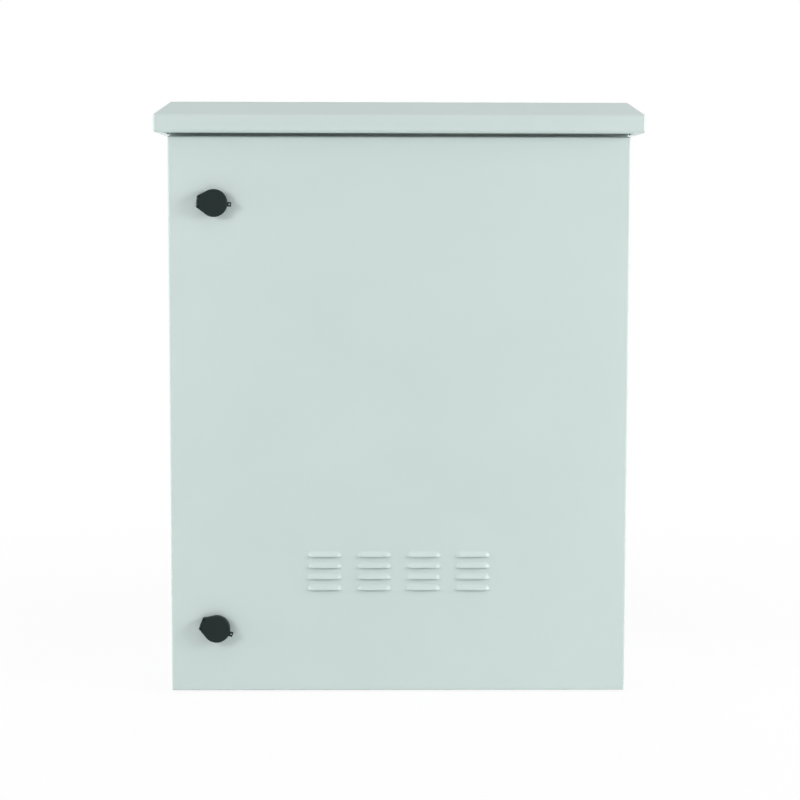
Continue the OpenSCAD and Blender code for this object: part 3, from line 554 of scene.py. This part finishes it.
def carried(path, section, to_frame):
    """A closed section carried round a closed path. Section points are (outwards, up)."""
    points, faces = [], []
    for i, here in enumerate(path):
        before, after = path[i - 1], path[(i + 1) % len(path)]
        into = Vector((here[0] - before[0], here[1] - before[1])).normalized()
        out = Vector((after[0] - here[0], after[1] - here[1])).normalized()
        normal = Vector((into.y + out.y, -into.x - out.x)) / (1 + into.dot(out))
        for across, up in section(here):
            points.append(to_frame(here[0] + normal.x * across, here[1] + normal.y * across, up))
    ring = len(points) // len(path)
    for i in range(len(path)):
        j = (i + 1) % len(path)
        for k in range(ring):
            n = (k + 1) % ring
            faces.append((i * ring + k, i * ring + n, j * ring + n, j * ring + k))
    return points, faces


print("helpers for carried sections are ready")

# %% Poured door seal
SEAL_W = 12 * mm
SEAL_TURN, TURN_STEPS = 8 * mm, 8  # radius of the nozzle's path in a corner, and its steps there
SEAL_STEP = 6 * mm  # longest stretch of the bead between two sections
DOME_STEPS = 24  # faces across the dome
SEAL_POWER = 2.6  # 2 is a half ellipse, more has fuller shoulders
GROOVE_DEEP, GROOVE_WIDE = 0.7 * mm, 1.3 * mm
JOINT_FULLER, JOINT_LONG = 0.6 * mm, 18 * mm

seal_lo, seal_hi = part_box("door_gasket")
seal_t = seal_hi.y - seal_lo.y
joint_at = Vector((0, seal_lo.z + SEAL_W / 2))


def seal_section(here):
    """The dome at one place of the path, flat side down."""
    reach = math.exp(-(((Vector(here) - joint_at).length / JOINT_LONG) ** 2))
    half = SEAL_W / 2 - JOINT_FULLER * (1 - reach)
    dome = []
    for k in range(DOME_STEPS + 1):
        across = -half + 2 * half * (0.5 - 0.5 * math.cos(math.pi * k / DOME_STEPS))
        up = seal_t * max(0, 1 - abs(across / half) ** SEAL_POWER) ** (1 / SEAL_POWER)
        dome.append((across, up - GROOVE_DEEP * math.exp(-((across / GROOVE_WIDE) ** 2))))
    dome[0], dome[-1] = (-half, 0), (half, 0)
    return dome[::-1]


path = rounded_path(
    (seal_lo.x + SEAL_W / 2, seal_lo.z + SEAL_W / 2),
    (seal_hi.x - SEAL_W / 2, seal_hi.z - SEAL_W / 2),
    SEAL_TURN,
    TURN_STEPS,
)
points, faces = carried(
    subdivided(path, SEAL_STEP), seal_section, lambda x, z, up: (x, seal_lo.y + up, z)
)
door_seal = stand_for("door_gasket", "poured_door_seal", points, faces)
print(door_seal.name, len(faces), "faces,", round(seal_t / mm, 1), "mm high")

# %% [markdown]
# ## Gland plate seal
# Under the gland plate lies a flat foam strip, squeezed until its edges bulge. Its section is a
# flat bar with rounded sides, carried round the cable entry.

# %% Gland plate seal
STRIP_W = 22 * mm
BULGE, BULGE_STEPS = 0.8 * mm, 8  # how far its sides bulge, and the faces round them
STRIP_TURN_STEPS = 6  # steps round a corner

strip_lo, strip_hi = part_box("gland_gasket")
strip_t = strip_hi.z - strip_lo.z
half = STRIP_W / 2
side = [math.radians(-90 + 180 * k / BULGE_STEPS) for k in range(BULGE_STEPS + 1)]
strip = [(half - BULGE + BULGE * math.cos(a), strip_t / 2 * (1 + math.sin(a))) for a in side]
strip = [(-across, up) for across, up in strip] + strip[::-1]
corners = rounded_path(
    (strip_lo.x + half, strip_lo.y + half),
    (strip_hi.x - half, strip_hi.y - half),
    half,
    STRIP_TURN_STEPS,
)
points, faces = carried(corners, lambda here: strip, lambda x, y, up: (x, y, strip_lo.z + up))
gland_seal = stand_for("gland_gasket", "gland_plate_seal", points, faces)
print(gland_seal.name, len(faces), "faces")

# %% [markdown]
# ## Filter mat
# The fleece behind the louvres is a soft mat, cut with scissors: its edges are thinner than its
# middle and its faces rise and fall. A grid with a front and a back face is moved by noise, less
# towards the edges, and closed round its rim.

# %% Filter mat
MAT_STEP = 3 * mm  # width of one face of the grid
MAT_EDGE = 9 * mm  # how far in from the edge the mat is thinner
MAT_SINK = 1.6 * mm  # how much thinner its edge is, on each face
MAT_WAVE, MAT_WAVE_LONG = 0.5 * mm, 16 * mm  # height and length of its waves

mat_lo, mat_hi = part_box("filter_mat")
columns = round((mat_hi.x - mat_lo.x) / MAT_STEP)
rows = round((mat_hi.z - mat_lo.z) / MAT_STEP)
points = []
for face, direction in ((mat_lo.y, 1), (mat_hi.y, -1)):
    for j in range(rows + 1):
        for i in range(columns + 1):
            x = mat_lo.x + (mat_hi.x - mat_lo.x) * i / columns
            z = mat_lo.z + (mat_hi.z - mat_lo.z) * j / rows
            edge = min(x - mat_lo.x, mat_hi.x - x, z - mat_lo.z, mat_hi.z - z)
            thin = MAT_SINK * max(0, 1 - edge / MAT_EDGE) ** 2
            wave = noise.noise(Vector((x, face, z)) / MAT_WAVE_LONG)
            points.append((x, face + direction * (thin + MAT_WAVE * (0.5 + 0.5 * wave)), z))
wide = columns + 1
back = wide * (rows + 1)
faces = []
for j in range(rows):
    for i in range(columns):
        a = j * wide + i
        faces.append((a, a + 1, a + 1 + wide, a + wide))
        faces.append((back + a, back + a + wide, back + a + 1 + wide, back + a + 1))
rim = list(range(columns)) + [columns + j * wide for j in range(rows)]
rim += [rows * wide + i for i in range(columns, 0, -1)] + [j * wide for j in range(rows, 0, -1)]
for a, b in zip(rim, rim[1:] + rim[:1]):
    faces.append((b, a, back + a, back + b))
fleece_mat = stand_for("filter_mat", "filter_mat_fleece", points, faces)
print(fleece_mat.name, len(faces), "faces,", columns, "by", rows)

# %% [markdown]
# ## Turned pieces with threads
# The studs, the hinge screws and the lock barrels carry screw threads, which the solids leave out.
# A lathe turns an outline round an axis, so this helper does the same: it turns a list of radius
# and height pairs, and where two neighbours are marked as threaded, it cuts a helical groove
# between them. The groove is a wave, as a rolled thread has rounded crests and roots. Where a pair
# is marked as a socket, the round becomes a hexagon. A bar gets a flat face at each end, and the
# outline of a ring closes on itself instead.

# %% Lathe helper
THREAD_STEPS = 12  # rings for each turn of a thread
PLAIN, THREAD, SOCKET = range(3)  # the kinds of surface an outline can have


def turned(outline, sides, pitch=1, depth=0, ring=False):
    """Points and faces of an outline of (radius, height, surface) turned round Z, going up."""
    rings = [outline[0]]
    for a, b in zip(outline, outline[1:]):
        threaded = a[2] == b[2] == THREAD
        count = math.ceil(abs(b[1] - a[1]) / pitch * THREAD_STEPS) if threaded else 1
        for k in range(1, count + 1):
            share = k / count
            radius, height = a[0] + (b[0] - a[0]) * share, a[1] + (b[1] - a[1]) * share
            rings.append((radius, height, b[2]))
    points, faces = [], []
    for radius, height, surface in rings:
        for k in range(sides):
            angle = 2 * math.pi * k / sides
            cut = radius
            if surface == THREAD:
                cut -= depth * (0.5 - 0.5 * math.cos(2 * math.pi * height / pitch - angle))
            elif surface == SOCKET:
                cut /= math.cos(angle % (math.pi / 3) - math.pi / 6)
            points.append((cut * math.cos(angle), cut * math.sin(angle), height))
    loops = len(rings)
    for i in range(loops if ring else loops - 1):
        j = (i + 1) % loops
        for k in range(sides):
            n = (k + 1) % sides
            faces.append((i * sides + k, i * sides + n, j * sides + n, j * sides + k))
    if not ring:
        faces += [tuple(reversed(range(sides))), tuple(range(len(points) - sides, len(points)))]
    return points, faces


def placed(lathe, places):
    """One copy of the turned points and faces at each place."""
    points, faces = [], []
    for place in places:
        start = len(points)
        points += [tuple(place @ Vector(point)) for point in lathe[0]]
        faces += [tuple(start + i for i in face) for face in lathe[1]]
    return points, faces


def facing(origin, axis):
    """The place of a turned piece whose foot is at this point."""
    return Matrix.Translation(origin) @ Vector(axis).to_track_quat("Z", "Y").to_matrix().to_4x4()


print("lathe helper is ready")

# %% [markdown]
# ## Studs
# The earth studs are M8 brass, welded to the sheet. The mounting plate sits on M8 studs with a wide
# shoulder, and the filter's cover on M5 studs. Standard threads have a pitch of 1.25 mm at M8 and
# 0.8 mm at M5, and are cut about 0.61 of that deep. The end of a stud is chamfered, to start a nut.

# %% Stud helpers
M5, M8 = (2.5 * mm, 0.8 * mm), (4 * mm, 1.25 * mm)  # radius and pitch
THREAD_DEPTH = 0.61  # of the pitch
SHOULDER_R, SHOULDER_EDGE = 7 * mm, 0.6 * mm  # radius, and the chamfer on it
STUD_SIDES = 36


def stud(thread, tip, shoulder=0):
    """Points and faces of a threaded stud to its chamfered tip, with a shoulder of this length."""
    radius, pitch = thread
    depth = THREAD_DEPTH * pitch
    outline = [
        (radius, shoulder, PLAIN),
        (radius, shoulder + pitch / 2, THREAD),
        (radius, tip - depth, THREAD),
        (radius - depth, tip, PLAIN),
    ]
    if shoulder:
        outline[:0] = [
            (SHOULDER_R, 0, PLAIN),
            (SHOULDER_R, shoulder - SHOULDER_EDGE, PLAIN),
            (SHOULDER_R - SHOULDER_EDGE, shoulder, PLAIN),
        ]
    return turned(outline, STUD_SIDES, pitch, depth)


def corners_of(lo, hi, y, inset):
    """The four corners of an upright rectangle at this depth, moved in from its edges."""
    across, up = (lo.x + inset, hi.x - inset), (lo.z + inset, hi.z - inset)
    return [(x, y, z) for x in across for z in up]


print("M8 threads are", round(THREAD_DEPTH * M8[1] / mm, 2), "mm deep")

# %% Earth studs
for node, name, axis in (
    ("earth_stud", "threaded_earth_stud", (-1, 0, 0)),
    ("door_earth_stud", "threaded_door_earth_stud", (0, 1, 0)),
):
    lo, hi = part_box(node)
    length = abs(Vector(axis).dot(hi - lo))
    foot = (lo + hi) / 2 - Vector(axis) * length / 2
    piece = stand_for(node, name, *placed(stud(M8, length), [facing(foot, axis)]))
    print(piece.name, round(length / mm, 1), "mm long")

# %% Studs of the mounting plate and the filter
lo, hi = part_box("plate_studs")
places = [facing(corner, (0, -1, 0)) for corner in corners_of(lo, hi, hi.y, SHOULDER_R)]
shoulder_l = hi.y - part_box("mounting_plate")[1].y
lathe = stud(M8, hi.y - lo.y, shoulder_l)
plate_studs = stand_for("plate_studs", "threaded_plate_studs", *placed(lathe, places))
print(plate_studs.name, len(places), "studs, shoulder", round(shoulder_l / mm, 1), "mm")

lo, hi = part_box("filter_studs")
places = [facing(corner, (0, 1, 0)) for corner in corners_of(lo, hi, lo.y, M5[0])]
lathe = stud(M5, hi.y - lo.y)
filter_studs = stand_for("filter_studs", "threaded_filter_studs", *placed(lathe, places))
print(filter_studs.name, len(places), "studs")

# %% [markdown]
# ## Hinge screws
# Each hinge is held by two countersunk M5 screws. The head is a cone that sinks into the casting
# until it is flush, and a hexagon socket takes the key. The same lathe makes them: it goes up the
# thread and the cone, across the head, and down into the socket.

# %% Hinge screws
SCREW_END = 8 * mm  # from a hinge's end to its screw
HEAD_EDGE = 0.15 * mm  # the head's worn rim
KEY_HALF, KEY_DEEP = 1.5 * mm, 2.4 * mm  # half of a 3 mm key, and how deep it goes

lo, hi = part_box("hinge_screws")
radius, pitch = M5
length, depth = hi.y - lo.y, THREAD_DEPTH * pitch
outline = [
    (radius - depth, 0, PLAIN),
    (radius, depth, THREAD),
    (radius, length - radius - pitch, THREAD),
    (radius, length - radius, PLAIN),
    (2 * radius - HEAD_EDGE, length - HEAD_EDGE, PLAIN),
    (2 * radius - 2 * HEAD_EDGE, length, PLAIN),
    (KEY_HALF, length, SOCKET),
    (KEY_HALF, length - KEY_DEEP, SOCKET),
]
places = []
for level in LEVELS:
    base_lo, base_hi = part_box(f"{level}_hinge_base")
    for z in (base_lo.z + SCREW_END, base_hi.z - SCREW_END):
        places.append(facing(((lo.x + hi.x) / 2, hi.y, z), (0, -1, 0)))
lathe = turned(outline, STUD_SIDES, pitch, depth)
screws = stand_for("hinge_screws", "socket_hinge_screws", *placed(lathe, places))
print(screws.name, len(places), "screws,", round(length / mm, 1), "mm long")

# %% [markdown]
# ## Lock barrels and their seals
# A quarter-turn lock is held by a nut on its threaded barrel, with a foam ring between its flange
# and the door. The barrel is turned as one ring: flange, thread, end, and the bore inside. The foam
# ring's outer edge bulges, because the flange squeezes it.

# %% Lock barrels and their seals
FLANGE_R, BARREL_R, BORE_R, STEM_R = 16.7 * mm, 11 * mm, 8.55 * mm, 5.85 * mm
FLANGE_T, BORE_FLOOR = 3 * mm, 3 * mm
BARREL_PITCH, BARREL_DEPTH, EDGE = 1.5 * mm, 0.8 * mm, 0.4 * mm
RING_R, HOLE_R = 18.5 * mm, 11.2 * mm  # the foam ring and its hole
RING_BULGE, RING_STEPS = 0.3 * mm, 6
BARREL_SIDES = 64

for level in LEVELS:
    lo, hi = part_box(f"{level}_lock_housing")
    middle = (lo + hi) / 2
    deep = hi.y - lo.y
    outline = [
        (BORE_R, deep, PLAIN),
        (FLANGE_R - EDGE, deep, PLAIN),
        (FLANGE_R, deep - EDGE, PLAIN),
        (FLANGE_R, deep - FLANGE_T, PLAIN),
        (BARREL_R, deep - FLANGE_T, PLAIN),
        (BARREL_R, deep - FLANGE_T - BARREL_PITCH, THREAD),
        (BARREL_R, BARREL_DEPTH, THREAD),
        (BARREL_R - BARREL_DEPTH, 0, PLAIN),
        (STEM_R, 0, PLAIN),
        (STEM_R, BORE_FLOOR, PLAIN),
        (BORE_R, BORE_FLOOR, PLAIN),
    ]
    lathe = turned(outline[::-1], BARREL_SIDES, BARREL_PITCH, BARREL_DEPTH, ring=True)
    place = facing((middle.x, hi.y, middle.z), (0, -1, 0))
    barrel = stand_for(
        f"{level}_lock_housing", f"threaded_{level}_lock_barrel", *placed(lathe, [place])
    )

    lo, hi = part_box(f"{level}_lock_seal")
    thick = hi.y - lo.y
    outline = [(HOLE_R, 0, PLAIN)]
    for k in range(RING_STEPS + 1):
        a = math.radians(-90 + 180 * k / RING_STEPS)
        edge = RING_R - RING_BULGE * (1 - math.cos(a))
        outline.append((edge, thick / 2 * (1 + math.sin(a)), PLAIN))
    outline.append((HOLE_R, thick, PLAIN))
    lathe = turned(outline, BARREL_SIDES, ring=True)
    place = facing((middle.x, hi.y, middle.z), (0, -1, 0))
    seal = stand_for(
        f"{level}_lock_seal", f"squeezed_{level}_lock_seal", *placed(lathe, [place])
    )
    print(barrel.name, round(deep / mm, 1), "mm long,", seal.name)

# %% [markdown]
# ## Stage
# The cabinet stands on a pale floor in front of white. The floor is a real matt surface for the
# light, so it keeps the cabinet's shadow and throws light up at it, and mostly plain white for the
# camera. A Light Path node tells the kinds of ray apart. The shadow fades out with the distance
# from the cabinet, so that floor and background meet without a line. Right under the cabinet the
# camera gets the real floor too, because there it is seen through the anchor holes.

# %% Floor
FLOOR_R, FLOOR_SIDES = 2.4, 64  # radius in metres, and the sides of the disc
FLOOR_DROP = 0.2 * mm  # keeps the floor clear of the cabinet's base

rim = [2 * math.pi * k / FLOOR_SIDES for k in range(FLOOR_SIDES)]
floor_mesh = bpy.data.meshes.new("floor")
floor_mesh.from_pydata(
    [(FLOOR_R * math.cos(a), FLOOR_R * math.sin(a), -FLOOR_DROP) for a in rim],
    [],
    [tuple(range(FLOOR_SIDES))],
)
floor = bpy.data.objects.new("floor", floor_mesh)
bpy.context.scene.collection.objects.link(floor)
print(floor.name, 2 * FLOOR_R, "m wide")

# %% [markdown]
# ## The floor's two looks
# A ray counts as seen if it comes from the camera, from a mirror-like surface or through glass, so
# that metal shows the same white that the camera does. For all other rays the floor is matt paper.

# %% Which rays are seen
def seen_directly(tree):
    """1 for rays from the camera, a gloss or a glass, and 0 for all others."""
    ray = add(tree, "LightPath")
    seen = ray.outputs["Is Camera Ray"]
    for kind in ("Is Glossy Ray", "Is Transmission Ray"):
        either = add(tree, "Math", {0: seen, 1: ray.outputs[kind]}, operation="MAXIMUM")
        seen = either.outputs["Value"]
    return seen


print("rays that are seen get plain white")

# %% Floor finish
SHADOW_SHARE = 0.08  # share of the floor's real shading that the camera sees near the cabinet
SHADOW_FROM, SHADOW_TO = 0.5, 1.6  # where that share starts to fade, and ends, in metres
UNDER = {"X": 0.31, "Y": 0.17}  # half the patch of floor that the cabinet covers
WHITE = (1, 1, 1, 1)

floor_paper, tree, place = new_finish("pale_floor")
away = add(tree, "VectorMath", {0: place}, operation="LENGTH")
plain = add(
    tree,
    "MapRange",
    {
        "Value": away.outputs["Value"],
        "From Min": SHADOW_FROM,
        "From Max": SHADOW_TO,
        "To Min": 1 - SHADOW_SHARE,
        "To Max": 1,
    },
)
share = add(
    tree,
    "Math",
    {0: seen_directly(tree), 1: plain.outputs["Result"]},
    operation="MULTIPLY",
)
spot = add(tree, "SeparateXYZ", {"Vector": place})
beside = None
for axis, half in UNDER.items():
    off = add(tree, "Math", {0: spot.outputs[axis]}, operation="ABSOLUTE")
    past = add(tree, "Math", {0: off.outputs["Value"], 1: half}, operation="GREATER_THAN")
    if beside is None:
        beside = past
    else:
        beside = add(
            tree,
            "Math",
            {0: beside.outputs["Value"], 1: past.outputs["Value"]},
            operation="MAXIMUM",
        )
share = add(
    tree,
    "Math",
    {0: share.outputs["Value"], 1: beside.outputs["Value"]},
    operation="MULTIPLY",
)
matt = add(tree, "BsdfDiffuse", {"Color": linear("#f4f4f4")})
white = add(tree, "Emission", {"Color": WHITE, "Strength": 1})
mixed = add(
    tree,
    "MixShader",
    {"Fac": share.outputs["Value"], 1: matt.outputs["BSDF"], 2: white.outputs["Emission"]},
)
add(tree, "OutputMaterial", {"Surface": mixed.outputs["Shader"]})
floor_mesh.materials.append(floor_paper)
print(floor_paper.name, "shows", SHADOW_SHARE, "of its shading near the cabinet")

# %% [markdown]
# ## Room
# The room gives a weak even light from all sides and is plain white to look at. It uses the same
# test for rays that are seen as the floor does, so both are the same white.

# %% Room
WORLD_FILL = 0.22  # the light that the room itself gives
world = bpy.data.worlds.new("studio")
bpy.context.scene.world = world
world.use_nodes = True
tree = world.node_tree
tree.nodes.clear()
strength = add(
    tree, "MapRange", {"Value": seen_directly(tree), "To Min": WORLD_FILL, "To Max": 1}
)
sky = add(tree, "Background", {"Color": WHITE, "Strength": strength.outputs["Result"]})
add(tree, "OutputWorld", {"Surface": sky.outputs["Background"]})
print(world.name, "gives", WORLD_FILL)

# %% [markdown]
# ## Light
# Two soft boxes stand beside the cabinet and only a little in front of it. Their light rakes across
# the door, so the rounded ends of the louvres and the folded edges of the door light up, and the
# louvres' lips stay dark. Light from the front would flatten both. The left box stands further in
# front, which keeps the shadow at the right of each dust cover short. The right box is stronger,
# so that the door brightens towards its hinges. A weak box low at the left lights the door's left
# fold and the cabinet's side, a weak one overhead lights the roof, and one behind lights the back,
# for a look from there.

# %% Soft boxes
AIM = Vector((0, -0.2, 0.42))  # about the middle of the door
SOFT_BOXES = {  # place and width in metres, power in watts
    "left_soft_box": ((-2.1, -1.6, 1.3), 0.9, 29),
    "right_soft_box": ((2.4, -1.1, 1.05), 1.0, 50),
    "side_soft_box": ((-2.3, -0.35, 0.45), 0.8, 12),
    "top_soft_box": ((0, -1.0, 2.9), 1.8, 13),
    "back_soft_box": ((0, 3.0, 1.2), 1.6, 40),
}


def soft_box(name, place, size, power):
    """A square area light that faces the cabinet."""
    lamp = bpy.data.lights.new(name, "AREA")
    lamp.size = size
    lamp.energy = power
    holder = bpy.data.objects.new(name, lamp)
    holder.location = place
    holder.rotation_euler = (AIM - Vector(place)).to_track_quat("-Z", "Y").to_euler()
    bpy.context.scene.collection.objects.link(holder)


for name, (place, size, power) in SOFT_BOXES.items():
    soft_box(name, place, size, power)
print("soft boxes", list(SOFT_BOXES))

# %% [markdown]
# ## Camera
# The photograph was taken from about four fifths of the cabinet's height, some three metres away
# and a few centimetres left of the middle. The numbers come from fitting the door's and the roof's
# corners, so the lens needs no shift.

# %% Camera
IMAGE_PX = 800
FOCAL_PX = 1975
SENSOR_MM = 36
CAMERA_PLACE = (-0.036, -2.988, 0.688)
PITCH_DOWN, TURN_LEFT, ROLL = 5.44, -0.77, 0.11  # degrees

lens = bpy.data.cameras.new("photo_lens")
lens.sensor_width = SENSOR_MM
lens.lens = FOCAL_PX / IMAGE_PX * SENSOR_MM
camera = bpy.data.objects.new("photo_camera", lens)
bpy.context.scene.collection.objects.link(camera)
camera.matrix_world = (
    Matrix.Translation(CAMERA_PLACE)
    @ Matrix.Rotation(math.radians(TURN_LEFT), 4, "Z")
    @ Matrix.Rotation(math.radians(90 - PITCH_DOWN), 4, "X")
    @ Matrix.Rotation(math.radians(ROLL), 4, "Z")
)
bpy.context.scene.camera = camera
bpy.context.scene.view_settings.view_transform = "Standard"
print("lens", round(lens.lens, 1), "mm")
